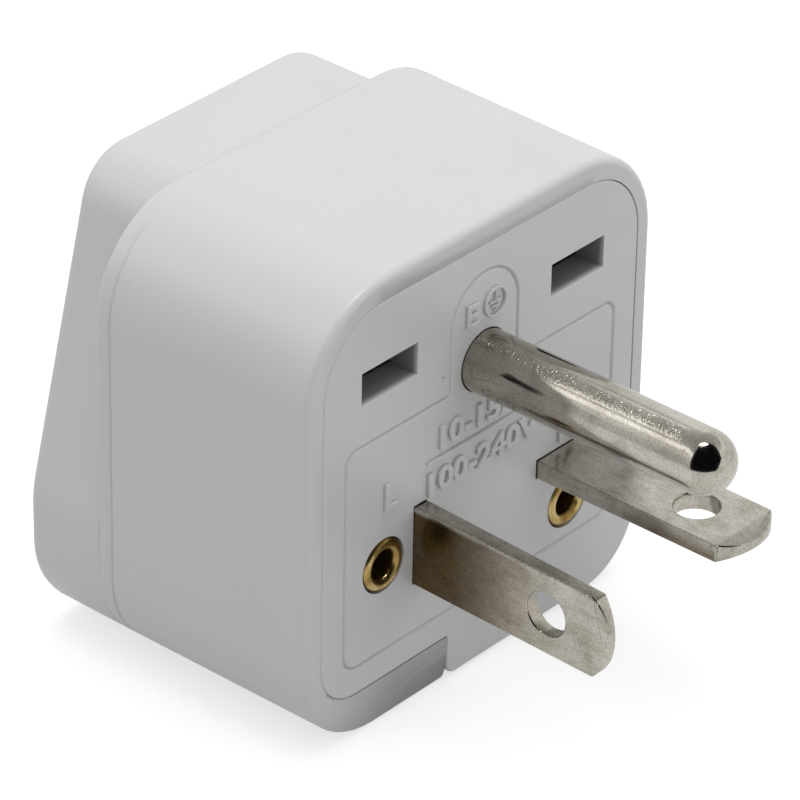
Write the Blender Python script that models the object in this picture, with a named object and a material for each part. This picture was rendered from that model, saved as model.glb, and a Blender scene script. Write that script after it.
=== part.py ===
"""Universal plug adapter: two flat blades and a round earth pin in front, a universal socket behind.

All pieces are modelled in the face frame, whose empty carries them: its origin is the earth pin's
axis on the front face, with X to the right, Y into the body and Z up.
"""
import math

import bmesh
import bpy
from mathutils import Matrix, Vector

MM = 0.001

# Housing, measured from the face frame's origin, as wide as the contacts and the walls beside them
WALL = 1.8 * MM
REAR_WALL = 2.1 * MM
CONTACT_OUTER = 14.3 * MM
CONTACT_SIDE_GAP = 2.1 * MM
BODY_HALF_WIDTH = CONTACT_OUTER + CONTACT_SIDE_GAP + WALL
BODY_TOP = 11.2 * MM
BODY_BOTTOM = -25.4 * MM
BODY_DEPTH = 26.5 * MM
BOX_DEPTH = 19.5 * MM
BOX_DRAFT = 0.4 * MM
BOX_TOP_RADIUS = 8.0 * MM
BOX_BOTTOM_RADIUS = 7.55 * MM
FACE_EDGE_RADIUS = 0.6 * MM
FACE_BOTTOM_REACH = 2.8 * MM
BOX_REAR_RADIUS = 0.3 * MM
SEAM_FROM_REAR = 1.35 * MM
SEAM_DEPTH = 0.12 * MM
SEAM_HALF_WIDTH = 0.12 * MM
SOCKET_TOP_HALF_WIDTH = 12.3 * MM
SOCKET_SHOULDER = -13.6 * MM
SOCKET_INSET = 0.1 * MM
SOCKET_TOP_RADIUS = 5.6 * MM
SOCKET_BOTTOM_RADIUS = 7.8 * MM
SOCKET_SHOULDER_RADIUS = 10.0 * MM
SOCKET_REAR_RADIUS = 0.8 * MM
SOCKET_OVERLAP = 2.5 * MM
SOCKET_ROOT = BOX_DEPTH - SOCKET_OVERLAP
SOCKET_ROOT_INSET = 0.6 * MM
SOCKET_NECK = 0.1 * MM

# Pin plate
PLATE_THICKNESS = 2.5 * MM
SIDE_RIM = 1.7 * MM
TOP_RIM = 2.05 * MM
BOTTOM_RIM = 4.0 * MM
PLATE_HALF_WIDTH = BODY_HALF_WIDTH - SIDE_RIM
PLATE_TOP = BODY_TOP - TOP_RIM
PLATE_BOTTOM = BODY_BOTTOM + BOTTOM_RIM
PLATE_EDGE = 0.15 * MM
PLATE_TOP_RADIUS = 5.7 * MM
PLATE_BOTTOM_RADIUS = 3.5 * MM
TAB_LEFT = -3.0 * MM
TAB_TOP = -16.5 * MM
TAB_INSET = 0.3 * MM
TAB_RADIUS = 5.6 * MM
TAB_CORNER_RADIUS = 1.0 * MM
SMALL_RADIUS = 0.25 * MM
WINDOW_INNER = 7.1 * MM
WINDOW_OUTER = 12.85 * MM
WINDOW_BOTTOM = 2.0 * MM
WINDOW_TOP = 4.55 * MM

# Fits
SEAT_GAP = 0.3 * MM
PLATE_GAP = 0.25 * MM
CUT_OVER = 3.0 * MM

# Blades and earth pin
BLADE_WIDTH = 6.35 * MM
BLADE_THICKNESS = 1.52 * MM
BLADE_LENGTH = 17.5 * MM
BLADE_TIP_RISE = 1.3 * MM
BLADE_TIP_THICKNESS = 0.75 * MM
TIP_OVERRUN = 0.3 * MM
BLADE_ROW = -12.0 * MM
BLADE_FOLD_RADIUS = 0.3 * MM
BLADE_HOLE_RADIUS = 1.7 * MM
BLADE_HOLE_FROM_FACE = 12.0 * MM
LINE_X = -6.4 * MM
NEUTRAL_X = 9.4 * MM
EARTH_RADIUS = 2.38 * MM
EARTH_LENGTH = 21.8 * MM
EARTH_FLANGE_RADIUS = 3.5 * MM
EARTH_FLANGE_THICKNESS = 0.9 * MM
EARTH_TAIL_RADIUS = 1.4 * MM
EARTH_HEAD_RADIUS = 2.3 * MM
HEAD_CHAMFER = 0.4 * MM

# Hollow rivets
LINE_EYELET_X = -10.3 * MM
LINE_EYELET_Z = -12.1 * MM
NEUTRAL_EYELET_X = 9.8 * MM
NEUTRAL_EYELET_Z = -16.25 * MM
EYELET_BORE = 1.15 * MM
EYELET_TUBE = 1.45 * MM
EYELET_FLANGE = 2.05 * MM
EYELET_FLANGE_THICKNESS = 0.45 * MM
EYELET_PROUD = 0.15 * MM
EYELET_HEAD_THICKNESS = 0.6 * MM
EYELET_HEAD = 1.95 * MM
EYELET_ROLL_RADIUS = 0.3 * MM
EYELET_EDGE_RADIUS = 0.15 * MM
EYELET_GAP = 0.2 * MM
EYELET_FOOT_REACH = 2.1 * MM

# Socket: the positions of the pins that it takes
SOCKET_ROW = -17.3 * MM
ROUND_PIN_X = 9.5 * MM
ROUND_PIN_RADIUS = 2.7 * MM
BAR_PIN_INNER = 7.2 * MM
BAR_PIN_PAST_CONTACT = 0.3 * MM
BAR_PIN_OUTER = CONTACT_OUTER + BAR_PIN_PAST_CONTACT
BAR_PIN_HALF_HEIGHT = 2.35 * MM
FLAT_PIN_X = 6.35 * MM
FLAT_PIN_HALF_WIDTH = 1.1 * MM
FLAT_PIN_HALF_HEIGHT = 3.7 * MM
SLANTED_PIN_X = 7.92 * MM
SLANTED_PIN_HALF_WIDTH = 1.0 * MM
SLANTED_PIN_HALF_HEIGHT = 3.9 * MM
SLANTED_PIN_ANGLE = math.radians(30)
EARTH_SLOT_HALF_WIDTH = 2.5 * MM
EARTH_SLOT_ABOVE_ROW = 9.2 * MM
EARTH_SLOT_HEIGHT = 17.2 * MM
EARTH_SLOT_BOTTOM = SOCKET_ROW + EARTH_SLOT_ABOVE_ROW
EARTH_SLOT_TOP = EARTH_SLOT_BOTTOM + EARTH_SLOT_HEIGHT
APERTURE_CORNER = 0.5 * MM

# Contacts: half gaps between facing leaves, and shares of a leaf's length from its bend to its mouth
SHEET = 0.6 * MM
CONTACT_INNER = 3.6 * MM
CONTACT_SPLIT = 8.5 * MM
CONTACT_LEAF_BEND = 9.0 * MM
CONTACT_MOUTH_GAP = 1.6 * MM
CONTACT_MOUTH = BODY_DEPTH - REAR_WALL - CONTACT_MOUTH_GAP
PINCH_SHARE = 0.4
EASE_SHARE = 0.725
CONTACT_PINCH = CONTACT_LEAF_BEND + PINCH_SHARE * (CONTACT_MOUTH - CONTACT_LEAF_BEND)
CONTACT_EASE = CONTACT_LEAF_BEND + EASE_SHARE * (CONTACT_MOUTH - CONTACT_LEAF_BEND)
UPPER_BEND_HALF_GAP = 4.3 * MM
PINCH_HALF_GAP = 1.95 * MM
EASE_HALF_GAP = 2.85 * MM
MOUTH_HALF_GAP = 3.3 * MM
CONTACT_FOLD_RADIUS = 0.8 * MM
LEAF_TURN_RADIUS = 2.7 * MM
FINGER_SLIT = 0.8 * MM
FINGER_SLIT_FROM_BEND = 1.0 * MM
EARTH_CONTACT_BOTTOM = -7.6 * MM
EARTH_CONTACT_TOP_GAP = 1.0 * MM
EARTH_CONTACT_TOP = BODY_TOP - WALL - EARTH_CONTACT_TOP_GAP
EARTH_CONTACT_HALF_BASE = 3.5 * MM
EARTH_FINGERS = 3
FLAT_PINCH_HALF_GAP = 0.65 * MM
FLAT_MOUTH_HALF_GAP = 1.3 * MM
FLAT_BASE_INNER_GAP = 2.2 * MM
FLAT_BASE_OUTER_GAP = 0.65 * MM
FLAT_CLIP_HALF_HEIGHT = 2.4 * MM
CLIP_RIVET_RADIUS = 0.4 * MM
CLIP_RIVET_HEAD = 0.7 * MM
CLIP_RIVET_OFFSET = 1.15 * MM
CLIP_RIVET_X = FLAT_PIN_X - CLIP_RIVET_OFFSET
CLIP_RIVET_HEAD_THICKNESS = 0.35 * MM
RIVET_HOLE_GAP = 0.2 * MM
SPRING_SHEET = 0.5 * MM
SPRING_LEAD = 0.9 * MM
SPRING_LENGTH = 2.4 * MM
SPRING_FRONT = CONTACT_PINCH - SPRING_LEAD
SPRING_BACK = SPRING_FRONT + SPRING_LENGTH
SPRING_HALF_HEIGHT = 3.5 * MM
SPRING_SIDE_GAP = 0.7 * MM
SPRING_OUTER = CONTACT_OUTER + SPRING_SIDE_GAP
SPRING_INNER = CONTACT_SPLIT + SEAT_GAP
SPRING_FOLD_RADIUS = 0.8 * MM

# Levels behind the face, each from the one before it
FOOT_FRONT = PLATE_THICKNESS + SEAT_GAP
FOOT_BACK = FOOT_FRONT + BLADE_THICKNESS
BASE_FRONT = FOOT_BACK + SEAT_GAP
BASE_BACK = BASE_FRONT + SHEET
HEAD_FRONT = BASE_BACK + SEAT_GAP
CAVITY_BACK = BODY_DEPTH - REAR_WALL

# Smoothness
CORNER_STEPS = 12
HIDDEN_STEPS = 6
FOLD_STEPS = 4
EDGE_STEPS = 6
SMALL_EDGE_STEPS = 3
ROLL_STEPS = 2
TIP_STEPS = 8
TURNED_STEPS = 40
DOME_STEPS = 8
SAME_POINT = 0.001 * MM
SAME_DIRECTION = math.radians(1)
SHARP_ANGLE = math.radians(35)

WHITE_PLASTIC = dict(colour=(0.80, 0.80, 0.79, 1.0), metallic=0.0, roughness=0.32)
NICKEL = dict(colour=(0.62, 0.59, 0.54, 1.0), metallic=1.0, roughness=0.28)
BRASS = dict(colour=(0.78, 0.55, 0.22, 1.0), metallic=1.0, roughness=0.3)
SPRING_STEEL = dict(colour=(0.42, 0.42, 0.43, 1.0), metallic=1.0, roughness=0.38)


def clear_scene():
    for existing in list(bpy.data.objects):
        bpy.data.objects.remove(existing, do_unlink=True)


def face_frame():
    """The empty on the front face that carries every piece: the body stands on Z = 0, centred."""
    frame = bpy.data.objects.new("face_frame", None)
    frame.location = (0.0, (EARTH_LENGTH - BODY_DEPTH) / 2, -BODY_BOTTOM)
    bpy.context.scene.collection.objects.link(frame)
    return frame


def finish(name, colour, metallic, roughness):
    material = bpy.data.materials.new(name + "_finish")
    material.use_nodes = True
    shader = material.node_tree.nodes["Principled BSDF"]
    shader.inputs["Base Color"].default_value = colour
    shader.inputs["Metallic"].default_value = metallic
    shader.inputs["Roughness"].default_value = roughness
    return material


def add_piece(frame, name, shape, look, origin=(0.0, 0.0, 0.0)):
    """Turn a closed bmesh in the face frame into an object placed at its own origin."""
    bmesh.ops.recalc_face_normals(shape, faces=shape.faces)
    bmesh.ops.translate(shape, vec=-Vector(origin), verts=shape.verts)
    mesh = bpy.data.meshes.new(name)
    shape.to_mesh(mesh)
    shape.free()
    mesh.shade_smooth()
    mesh.set_sharp_from_angle(angle=SHARP_ANGLE)
    piece = bpy.data.objects.new(name, mesh)
    bpy.context.scene.collection.objects.link(piece)
    piece.parent = frame
    piece.location = origin
    if look:
        mesh.materials.append(finish(name, **look))
    return piece


def combine(piece, frame, name, shape, operation):
    """Cut a shape from a piece, or join it on, with a Boolean modifier."""
    tool = add_piece(frame, name, shape, None)
    tool.hide_render = True
    tool.display_type = "WIRE"
    modifier = piece.modifiers.new(name, "BOOLEAN")
    modifier.operation = operation
    modifier.solver = "EXACT"
    modifier.object = tool


def cut(piece, frame, name, shape):
    combine(piece, frame, name, shape, "DIFFERENCE")


def join(piece, frame, name, shape):
    combine(piece, frame, name, shape, "UNION")


def corner_reaches(corners, closed):
    """Half the angle at each corner, and how far its arc runs along its sides, shortened where arcs meet."""
    count = len(corners)
    places = [Vector(corner[:2]) for corner in corners]
    half_angles, reaches = [], []
    for index, place in enumerate(places):
        before = places[index - 1] - place
        after = places[(index + 1) % count] - place
        half_angle = before.angle(after) / 2
        straight = math.pi - 2 * half_angle < SAME_DIRECTION
        end = not closed and index in (0, count - 1)
        half_angles.append(half_angle)
        reaches.append(0.0 if straight or end else corners[index][2] / math.tan(half_angle))
    limited = []
    for index, reach in enumerate(reaches):
        room = 1.0
        for neighbour in (index - 1, (index + 1) % count):
            length = (places[neighbour] - places[index]).length
            room = min(room, length / max(reach + reaches[neighbour], length))
        limited.append(reach * room)
    return half_angles, limited


def rounded(corners, closed=True, steps=CORNER_STEPS):
    """Points of a line through (u, v, radius) corners, each turned on an arc of its radius."""
    points = []
    count = len(corners)
    half_angles, reaches = corner_reaches(corners, closed)
    for index, corner in enumerate(corners):
        here = Vector(corner[:2])
        reach = reaches[index]
        if reach == 0:
            points.append(here)
            continue
        before = (Vector(corners[index - 1][:2]) - here).normalized()
        after = (Vector(corners[(index + 1) % count][:2]) - here).normalized()
        half_angle = half_angles[index]
        centre = here + (before + after).normalized() * reach / math.cos(half_angle)
        start = here + before * reach - centre
        turn = math.pi - 2 * half_angle
        if before.cross(after) > 0:
            turn = -turn
        for step in range(steps + 1):
            points.append(centre + Matrix.Rotation(turn * step / steps, 2) @ start)
    return points


def thickened(path, thickness):
    """The closed outline of a sheet whose middle line is the path, with mitred turns."""
    left, right = [], []
    for index, point in enumerate(path):
        ahead = (path[min(index + 1, len(path) - 1)] - point)
        behind = (point - path[max(index - 1, 0)])
        ahead = ahead.normalized() if ahead.length > 0 else behind.normalized()
        behind = behind.normalized() if behind.length > 0 else ahead
        along = (ahead + behind).normalized()
        normal = Vector((-along.y, along.x)) * (thickness / 2 / along.dot(ahead))
        left.append(point + normal)
        right.append(point - normal)
    return left + right[::-1]


def prism(outline, low, high, place):
    """A closed solid: the outline between two levels, with place(u, v, w) giving X, Y and Z."""
    shape = bmesh.new()
    ends = []
    for level in (low, high):
        ends.append([shape.verts.new(place(u, v, level)) for u, v in outline])
    shape.faces.new(ends[0])
    shape.faces.new(ends[1])
    bridge(shape, ends)
    return shape


def bridge(shape, rings):
    """Join each ring of vertices to the next with quads."""
    for near, far in zip(rings, rings[1:]):
        for index in range(len(near)):
            following = (index + 1) % len(near)
            shape.faces.new((near[index], near[following], far[following], far[index]))


def along_y(u, v, level):
    return (u, level, v)


def along_x(u, v, level):
    return (level, u, v)


def along_z(u, v, level):
    return (u, v, level)


def across_x(u, v, level):
    return (level, v, u)


def stack(sections):
    """A closed solid through outlines of equal point count, each at its distance from the face."""
    shape = bmesh.new()
    rings = [[shape.verts.new((u, level, v)) for u, v in outline] for level, outline in sections]
    shape.faces.new(rings[0])
    shape.faces.new(rings[-1])
    bridge(shape, rings)
    return shape


def turned(profile, x, z):
    """A solid turned about the Y direction through (x, z), from (radius, distance) points."""
    shape = bmesh.new()
    axis = (x, 0.0, z)
    points = [shape.verts.new((x + radius, distance, z)) for radius, distance in profile]
    edges = [shape.edges.new(pair) for pair in zip(points, points[1:])]
    if profile[0][0] > 0:
        edges.append(shape.edges.new((points[-1], points[0])))
    bmesh.ops.spin(
        shape,
        geom=points + edges,
        cent=axis,
        axis=(0.0, 1.0, 0.0),
        angle=2 * math.pi,
        steps=TURNED_STEPS,
        use_merge=True,
    )
    bmesh.ops.remove_doubles(shape, verts=shape.verts, dist=SAME_POINT)
    return shape


def rod(x, z, radius, front, back):
    return turned([(0.0, front), (radius, front), (radius, back), (0.0, back)], x, z)


def block(x_range, y_range, z_range):
    left, right = x_range
    low, high = z_range
    corners = [(left, low), (right, low), (right, high), (left, high)]
    return prism(corners, y_range[0], y_range[1], along_y)


def box_outline(side_inset, top_inset, bottom_inset):
    half_width = BODY_HALF_WIDTH - side_inset
    bottom = BODY_BOTTOM + bottom_inset
    top = BODY_TOP - top_inset
    bottom_radius = BOX_BOTTOM_RADIUS - side_inset
    top_radius = BOX_TOP_RADIUS - top_inset
    return rounded([
        (-half_width, bottom, bottom_radius),
        (half_width, bottom, bottom_radius),
        (half_width, top, top_radius),
        (-half_width, top, top_radius),
    ])


def edge_inset(radius, distance):
    """How far a rounded edge still stands in at a distance behind its flat face."""
    if distance >= radius:
        return 0.0
    return radius - math.sqrt(radius ** 2 - (radius - distance) ** 2)


def quarter_steps(radius, steps):
    """Distances behind a face at which a rounded edge gets a section, close together near the face."""
    return [radius * (1 - math.cos(math.pi / 2 * step / steps)) for step in range(steps + 1)]


def front_box():
    """The rounded box behind the face: a small edge radius drawn out below, a slight draft, a seam."""
    sections = []
    for distance in quarter_steps(FACE_EDGE_RADIUS, EDGE_STEPS):
        side = edge_inset(FACE_EDGE_RADIUS, distance)
        bottom = side * FACE_BOTTOM_REACH / FACE_EDGE_RADIUS
        widening = BOX_DRAFT * distance / BOX_DEPTH
        sections.append((distance, box_outline(side - widening, side, bottom)))
    seam = BOX_DEPTH - SEAM_FROM_REAR
    for distance, depth in ((-SEAM_HALF_WIDTH, 0.0), (0.0, SEAM_DEPTH), (SEAM_HALF_WIDTH, 0.0)):
        widening = BOX_DRAFT * (seam + distance) / BOX_DEPTH
        sections.append((seam + distance, box_outline(depth - widening, depth, depth)))
    for distance in quarter_steps(BOX_REAR_RADIUS, SMALL_EDGE_STEPS)[::-1]:
        inset = edge_inset(BOX_REAR_RADIUS, distance)
        sections.append((BOX_DEPTH - distance, box_outline(inset - BOX_DRAFT, inset, inset)))
    return stack(sections)


def socket_outline(inset, steps=CORNER_STEPS):
    """The socket part's outline: narrow and round at the top, flaring to the box's width below."""
    bottom_half_width = BODY_HALF_WIDTH + BOX_DRAFT - SOCKET_INSET - inset
    top_half_width = SOCKET_TOP_HALF_WIDTH - inset
    bottom = BODY_BOTTOM + inset
    top = BODY_TOP - SOCKET_INSET - inset
    return rounded([
        (-bottom_half_width, bottom, SOCKET_BOTTOM_RADIUS - inset),
        (bottom_half_width, bottom, SOCKET_BOTTOM_RADIUS - inset),
        (bottom_half_width, SOCKET_SHOULDER, SOCKET_SHOULDER_RADIUS),
        (top_half_width, top, SOCKET_TOP_RADIUS - inset),
        (-top_half_width, top, SOCKET_TOP_RADIUS - inset),
        (-bottom_half_width, SOCKET_SHOULDER, SOCKET_SHOULDER_RADIUS),
    ], steps=steps)


def socket_part():
    """The rear part, drawn in a little where it enters the box, with a rounded rear edge."""
    sections = [
        (SOCKET_ROOT, socket_outline(SOCKET_ROOT_INSET)),
        (BOX_DEPTH + SOCKET_NECK, socket_outline(0.0)),
    ]
    for distance in quarter_steps(SOCKET_REAR_RADIUS, SMALL_EDGE_STEPS)[::-1]:
        inset = edge_inset(SOCKET_REAR_RADIUS, distance)
        sections.append((BODY_DEPTH - distance, socket_outline(inset)))
    return stack(sections)


def plate_corners(grow, tab_right, tab_bottom, tab_radius, tab_corner_radius):
    """The plate's outline, with the tab that fills the shell's lower right rim."""
    half_width = PLATE_HALF_WIDTH + grow
    bottom = PLATE_BOTTOM - grow
    top = PLATE_TOP + grow
    return [
        (-half_width, bottom, PLATE_BOTTOM_RADIUS + grow),
        (TAB_LEFT - grow, bottom, SMALL_RADIUS),
        (TAB_LEFT - grow, tab_bottom, tab_corner_radius),
        (tab_right, tab_bottom, tab_radius),
        (tab_right, TAB_TOP + grow, SMALL_RADIUS),
        (half_width, TAB_TOP + grow, SMALL_RADIUS),
        (half_width, top, PLATE_TOP_RADIUS + grow),
        (-half_width, top, PLATE_TOP_RADIUS + grow),
    ]


def cavity_outline():
    half_width = PLATE_HALF_WIDTH - 2 * SEAT_GAP
    bottom = PLATE_BOTTOM - 2 * PLATE_GAP
    top = PLATE_TOP - PLATE_GAP / 2
    return rounded([
        (-half_width, bottom, PLATE_BOTTOM_RADIUS),
        (half_width, bottom, PLATE_BOTTOM_RADIUS),
        (half_width, top, PLATE_TOP_RADIUS),
        (-half_width, top, PLATE_TOP_RADIUS),
    ], steps=HIDDEN_STEPS)


def slot_outline(x, z, half_width, half_height, angle=0.0):
    """A round-cornered slot about (x, z), turned by an angle."""
    turn = Matrix.Rotation(angle, 2)
    signs = [(-1, -1), (1, -1), (1, 1), (-1, 1)]
    corners = [(u * half_width, v * half_height, APERTURE_CORNER) for u, v in signs]
    points = rounded(corners, steps=FOLD_STEPS)
    return [turn @ point + Vector((x, z)) for point in points]


def circle_outline(x, z, radius, steps=28):
    angles = [2 * math.pi * step / steps for step in range(steps)]
    return [Vector((x + radius * math.cos(angle), z + radius * math.sin(angle))) for angle in angles]


def cut_apertures(shell, frame):
    """The universal openings: round, bar, flat and slanted pins share one opening on each side."""
    front, back = CAVITY_BACK - SEAT_GAP, BODY_DEPTH + CUT_OVER
    bar_x = (BAR_PIN_INNER + BAR_PIN_OUTER) / 2
    bar_half_width = (BAR_PIN_OUTER - BAR_PIN_INNER) / 2
    for side, label in ((-1, "line"), (1, "neutral")):
        outlines = {
            "bar": slot_outline(side * bar_x, SOCKET_ROW, bar_half_width, BAR_PIN_HALF_HEIGHT),
            "round": circle_outline(side * ROUND_PIN_X, SOCKET_ROW, ROUND_PIN_RADIUS),
            "flat": slot_outline(side * FLAT_PIN_X, SOCKET_ROW, FLAT_PIN_HALF_WIDTH, FLAT_PIN_HALF_HEIGHT),
            "slanted": slot_outline(
                side * SLANTED_PIN_X,
                SOCKET_ROW,
                SLANTED_PIN_HALF_WIDTH,
                SLANTED_PIN_HALF_HEIGHT,
                -side * SLANTED_PIN_ANGLE,
            ),
        }
        for kind, outline in outlines.items():
            cut(shell, frame, f"cutter_{label}_{kind}", prism(outline, front, back, along_y))
    slot_middle = (EARTH_SLOT_BOTTOM + EARTH_SLOT_TOP) / 2
    slot_half_height = (EARTH_SLOT_TOP - EARTH_SLOT_BOTTOM) / 2
    outline = slot_outline(0.0, slot_middle, EARTH_SLOT_HALF_WIDTH, slot_half_height)
    cut(shell, frame, "cutter_earth_slot", prism(outline, front, back, along_y))


def build_shell(frame):
    shell = add_piece(frame, "housing_shell", front_box(), WHITE_PLASTIC)
    join(shell, frame, "socket_part", socket_part())
    beyond_side = BODY_HALF_WIDTH + CUT_OVER
    beyond_bottom = BODY_BOTTOM - CUT_OVER
    pocket = rounded(plate_corners(PLATE_GAP, beyond_side, beyond_bottom, SMALL_RADIUS, SMALL_RADIUS))
    cut(shell, frame, "cutter_plate_pocket", prism(pocket, -CUT_OVER, FOOT_FRONT, along_y))
    cut(shell, frame, "cutter_front_cavity", prism(cavity_outline(), PLATE_THICKNESS, SOCKET_ROOT, along_y))
    rear_cavity = prism(socket_outline(WALL, HIDDEN_STEPS), SOCKET_ROOT - SEAT_GAP, CAVITY_BACK, along_y)
    cut(shell, frame, "cutter_rear_cavity", rear_cavity)
    cut_apertures(shell, frame)


def eyelet_places():
    return ((LINE_EYELET_X, LINE_EYELET_Z, "line"), (NEUTRAL_EYELET_X, NEUTRAL_EYELET_Z, "neutral"))


def build_plate(frame):
    sections = []
    for level, inset in ((0.0, PLATE_EDGE), (PLATE_EDGE, 0.0), (PLATE_THICKNESS, 0.0)):
        tab_right = BODY_HALF_WIDTH - TAB_INSET - inset
        tab_bottom = BODY_BOTTOM + TAB_INSET + inset
        corners = plate_corners(-inset, tab_right, tab_bottom, TAB_RADIUS - inset, TAB_CORNER_RADIUS - inset)
        sections.append((level, rounded(corners)))
    plate = add_piece(frame, "pin_plate", stack(sections), WHITE_PLASTIC)
    through = (-CUT_OVER, PLATE_THICKNESS + CUT_OVER)
    window_x = (WINDOW_INNER + WINDOW_OUTER) / 2
    window_half_width = (WINDOW_OUTER - WINDOW_INNER) / 2
    for side, label in ((-1, "left"), (1, "right")):
        x_range = (side * window_x - window_half_width, side * window_x + window_half_width)
        cut(plate, frame, f"cutter_window_{label}", block(x_range, through, (WINDOW_BOTTOM, WINDOW_TOP)))
    half_long = BLADE_WIDTH / 2 + PLATE_GAP
    half_short = BLADE_THICKNESS / 2 + PLATE_GAP
    for x, half_width, half_height, label in (
        (LINE_X, half_short, half_long, "line"),
        (NEUTRAL_X, half_long, half_short, "neutral"),
    ):
        x_range = (x - half_width, x + half_width)
        z_range = (BLADE_ROW - half_height, BLADE_ROW + half_height)
        cut(plate, frame, f"cutter_{label}_slot", block(x_range, through, z_range))
    cut(plate, frame, "cutter_earth_hole", rod(0.0, 0.0, EARTH_RADIUS + PLATE_GAP, *through))
    recess_depth = EYELET_FLANGE_THICKNESS - EYELET_PROUD + SEAT_GAP
    for x, z, label in eyelet_places():
        cut(plate, frame, f"cutter_{label}_eyelet_hole", rod(x, z, EYELET_TUBE + EYELET_GAP, *through))
        recess = rod(x, z, EYELET_FLANGE + SEAT_GAP, -CUT_OVER, recess_depth)
        cut(plate, frame, f"cutter_{label}_eyelet_recess", recess)


def blade_shape(axis_place, fold_at, foot_end):
    """A blade with thinned end and a foot folded along the plate's back, drawn in the plane of the fold."""
    foot_level = FOOT_FRONT + BLADE_THICKNESS / 2
    fold = BLADE_FOLD_RADIUS + BLADE_THICKNESS / 2
    shoulder = BLADE_TIP_RISE - BLADE_LENGTH
    corners = [(fold_at, shoulder, 0), (fold_at, foot_level, fold), (foot_end, foot_level, 0)]
    outline = thickened(rounded(corners, False, FOLD_STEPS), BLADE_THICKNESS)
    thinning = (BLADE_THICKNESS - BLADE_TIP_THICKNESS) / 2 / BLADE_TIP_RISE
    half_end = BLADE_TIP_THICKNESS / 2 - thinning * TIP_OVERRUN
    end = -BLADE_LENGTH - TIP_OVERRUN
    outline += [Vector((fold_at + half_end, end)), Vector((fold_at - half_end, end))]
    return prism(outline, -BLADE_WIDTH / 2, BLADE_WIDTH / 2, axis_place)


def tip_outline(middle):
    """What is cut off the end of a blade: all beyond an arc through its two shoulders."""
    half_width = BLADE_WIDTH / 2
    radius = (half_width ** 2 + BLADE_TIP_RISE ** 2) / (2 * BLADE_TIP_RISE)
    reach = half_width + TIP_OVERRUN
    half_angle = math.asin(min(reach / radius, 1.0))
    points = []
    for step in range(-TIP_STEPS, TIP_STEPS + 1):
        angle = half_angle * step / TIP_STEPS
        distance = radius - BLADE_LENGTH - radius * math.cos(angle)
        points.append(Vector((middle + radius * math.sin(angle), distance)))
    beyond = -BLADE_LENGTH - CUT_OVER
    return points + [Vector((middle + reach, beyond)), Vector((middle - reach, beyond))]


def cut_tip_and_hole(blade, frame, label, middle, level, place):
    """Cut a blade to its arc and its hole, about the middle of its width, through its flat sides."""
    levels = (level - 2 * BLADE_THICKNESS, level + 2 * BLADE_THICKNESS)
    cut(blade, frame, f"cutter_{label}_blade_tip", prism(tip_outline(middle), *levels, place))
    hole = circle_outline(middle, -BLADE_HOLE_FROM_FACE, BLADE_HOLE_RADIUS)
    cut(blade, frame, f"cutter_{label}_blade_hole", prism(hole, *levels, place))


def build_blades(frame):
    foot_hole = (EYELET_TUBE + EYELET_GAP, FOOT_FRONT - SEAT_GAP, FOOT_BACK + SEAT_GAP)

    def upright(u, v, level):
        return (u, v, BLADE_ROW + level)

    line_shape = blade_shape(upright, LINE_X, LINE_EYELET_X - EYELET_FOOT_REACH)
    line = add_piece(frame, "line_blade", line_shape, NICKEL, (LINE_X, 0.0, BLADE_ROW))
    cut_tip_and_hole(line, frame, "line", BLADE_ROW, LINE_X, across_x)
    cut(line, frame, "cutter_line_foot_hole", rod(LINE_EYELET_X, LINE_EYELET_Z, *foot_hole))

    def flat(u, v, level):
        return (NEUTRAL_X + level, v, u)

    neutral_shape = blade_shape(flat, BLADE_ROW, NEUTRAL_EYELET_Z - EYELET_FOOT_REACH)
    neutral = add_piece(frame, "neutral_blade", neutral_shape, NICKEL, (NEUTRAL_X, 0.0, BLADE_ROW))
    cut_tip_and_hole(neutral, frame, "neutral", NEUTRAL_X, BLADE_ROW, along_z)
    cut(neutral, frame, "cutter_neutral_foot_hole", rod(NEUTRAL_EYELET_X, NEUTRAL_EYELET_Z, *foot_hole))


def build_earth_pin(frame):
    """Round pin with a domed end, a flange behind the plate and a riveted tail."""
    profile = []
    for step in range(DOME_STEPS + 1):
        angle = math.pi / 2 * step / DOME_STEPS
        distance = -EARTH_LENGTH + EARTH_RADIUS * (1 - math.cos(angle))
        profile.append((EARTH_RADIUS * math.sin(angle), distance))
    flange_back = FOOT_FRONT + EARTH_FLANGE_THICKNESS
    head_back = HEAD_FRONT + EYELET_HEAD_THICKNESS
    profile += [
        (EARTH_RADIUS, FOOT_FRONT),
        (EARTH_FLANGE_RADIUS, FOOT_FRONT),
        (EARTH_FLANGE_RADIUS, flange_back),
        (EARTH_TAIL_RADIUS, flange_back),
        (EARTH_TAIL_RADIUS, HEAD_FRONT),
        (EARTH_HEAD_RADIUS, HEAD_FRONT),
        (EARTH_HEAD_RADIUS - HEAD_CHAMFER, head_back),
        (0.0, head_back),
    ]
    add_piece(frame, "earth_pin", turned(profile, 0.0, 0.0), NICKEL)
    washer_front = flange_back + SEAT_GAP
    washer_back = BASE_FRONT - SEAT_GAP
    hole = EARTH_TAIL_RADIUS + SEAT_GAP
    ring = [
        (hole, washer_front),
        (EARTH_FLANGE_RADIUS, washer_front),
        (EARTH_FLANGE_RADIUS, washer_back),
        (hole, washer_back),
    ]
    add_piece(frame, "earth_washer", turned(ring, 0.0, 0.0), SPRING_STEEL)


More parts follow.
